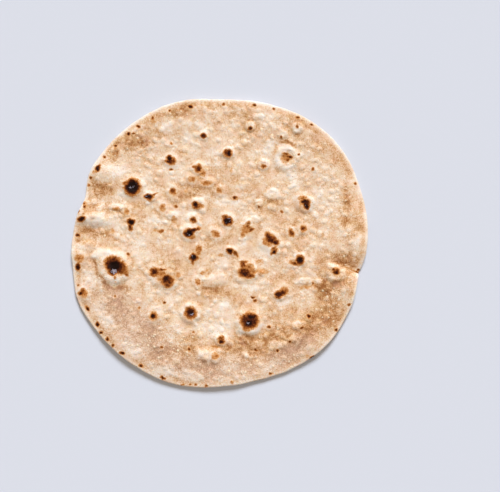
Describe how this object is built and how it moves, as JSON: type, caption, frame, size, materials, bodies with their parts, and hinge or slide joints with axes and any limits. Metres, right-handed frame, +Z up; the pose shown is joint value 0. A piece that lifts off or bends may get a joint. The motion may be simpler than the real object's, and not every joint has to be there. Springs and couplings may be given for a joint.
{
  "type": "roti",
  "caption": "Thin round flatbread with browned blisters and a gently waved rim, lying flat on its underside.",
  "frame": {"origin": "middle of the flat part of the underside, which is what the bread lies on", "axes": "+Z up through the thickness, +X and +Y across the disc, with the largest blister at -X"},
  "size_m": [0.1813, 0.1768, 0.0051],
  "materials": {
    "baked_dough": "matt wholemeal crust, pale and floury, with tan patches and dark charred blisters"
  },
  "bodies": {
    "root": {"roti": "baked_dough"}
  },
  "joints": []
}
